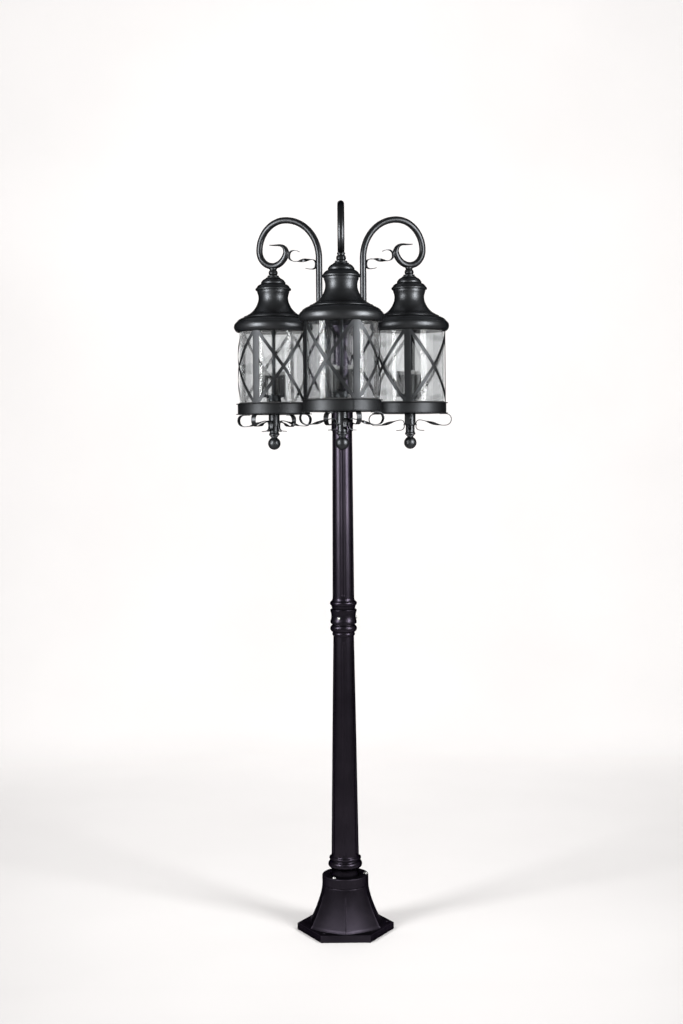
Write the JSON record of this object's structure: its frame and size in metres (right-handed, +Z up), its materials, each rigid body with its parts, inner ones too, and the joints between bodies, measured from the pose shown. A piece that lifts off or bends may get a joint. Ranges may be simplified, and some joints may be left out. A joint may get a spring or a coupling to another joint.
{
  "type": "lamp post",
  "caption": "Garden lamp post: hexagonal flared base, fluted two-stage pole and scroll arms from which glazed cylindrical lanterns hang, each able to swivel and open.",
  "frame": {"origin": "centre of the anchor bolt circle, on the underside of the plinth", "axes": "+Z up along the post; -Y towards the front lantern; +X to the right seen from the front"},
  "size_m": [0.7139, 0.6541, 2.295],
  "materials": {
    "post_paint": "cast aluminium under satin black powder coat",
    "lantern_paint": "spun and pressed aluminium under satin black powder coat",
    "steel_paint": "bent steel under satin black powder coat",
    "zinc": "bright zinc-plated steel",
    "glass": "clear, faintly wavy",
    "rubber": "matte black",
    "sleeve": "black",
    "holder": "white",
    "terminal": "off-white",
    "cable": "black sheath"
  },
  "bodies": {
    "post": {"base_pedestal": "post_paint", "clamp_ring": "post_paint", "clamp_screws": "zinc", "lower_pole": "post_paint", "coupling_sleeve": "post_paint", "upper_pole": "post_paint", "set_screws": "zinc", "head_hub": "post_paint", "hub_cap": "post_paint", "terminal_blocks": "terminal", "riser_cable": "cable", "arm_front": "steel_paint", "arm_right": "steel_paint", "arm_left": "steel_paint", "arm_scrolls": "steel_paint", "arm_knuckles": "steel_paint", "arm_wires": "cable"},
    "lantern_front": {"crown_front": "lantern_paint", "cap_front": "lantern_paint", "rod_front": "steel_paint", "lamp_lead_front": "cable", "cluster_front": "lantern_paint", "candle_sleeves_front": "sleeve", "lamp_holders_front": "holder"},
    "cage_front": {"glass_front": "glass", "gasket_front": "rubber", "cage_front": "lantern_paint", "tray_front": "lantern_paint", "stem_front": "lantern_paint", "foot_scrolls_front": "steel_paint"},
    "finial_front": {"finial_front": "lantern_paint"},
    "lantern_right": {"crown_right": "lantern_paint", "cap_right": "lantern_paint", "rod_right": "steel_paint", "lamp_lead_right": "cable", "cluster_right": "lantern_paint", "candle_sleeves_right": "sleeve", "lamp_holders_right": "holder"},
    "cage_right": {"glass_right": "glass", "gasket_right": "rubber", "cage_right": "lantern_paint", "tray_right": "lantern_paint", "stem_right": "lantern_paint", "foot_scrolls_right": "steel_paint"},
    "finial_right": {"finial_right": "lantern_paint"},
    "lantern_left": {"crown_left": "lantern_paint", "cap_left": "lantern_paint", "rod_left": "steel_paint", "lamp_lead_left": "cable", "cluster_left": "lantern_paint", "candle_sleeves_left": "sleeve", "lamp_holders_left": "holder"},
    "cage_left": {"glass_left": "glass", "gasket_left": "rubber", "cage_left": "lantern_paint", "tray_left": "lantern_paint", "stem_left": "lantern_paint", "foot_scrolls_left": "steel_paint"},
    "finial_left": {"finial_left": "lantern_paint"}
  },
  "joints": [
    {"name": "swivel_front", "type": "hinge", "parent": "post", "child": "lantern_front", "pos_m": [0, -0.258, 2.112], "axis": [0, 0, 1], "range_deg": [-170, 170]},
    {"name": "drop_front", "type": "slide", "parent": "lantern_front", "child": "cage_front", "axis": [0, 0, -1], "range_m": [0, 0.38]},
    {"name": "finial_turn_front", "type": "hinge", "parent": "cage_front", "child": "finial_front", "pos_m": [0, -0.258, 1.57], "axis": [0, 0, 1], "continuous": true},
    {"name": "swivel_right", "type": "hinge", "parent": "post", "child": "lantern_right", "pos_m": [0.22343, 0.129, 2.112], "axis": [0, 0, 1], "range_deg": [-170, 170]},
    {"name": "drop_right", "type": "slide", "parent": "lantern_right", "child": "cage_right", "axis": [0, 0, -1], "range_m": [0, 0.38]},
    {"name": "finial_turn_right", "type": "hinge", "parent": "cage_right", "child": "finial_right", "pos_m": [0.22343, 0.129, 1.57], "axis": [0, 0, 1], "continuous": true},
    {"name": "swivel_left", "type": "hinge", "parent": "post", "child": "lantern_left", "pos_m": [-0.22343, 0.129, 2.112], "axis": [0, 0, 1], "range_deg": [-170, 170]},
    {"name": "drop_left", "type": "slide", "parent": "lantern_left", "child": "cage_left", "axis": [0, 0, -1], "range_m": [0, 0.38]},
    {"name": "finial_turn_left", "type": "hinge", "parent": "cage_left", "child": "finial_left", "pos_m": [-0.22343, 0.129, 1.57], "axis": [0, 0, 1], "continuous": true}
  ]
}
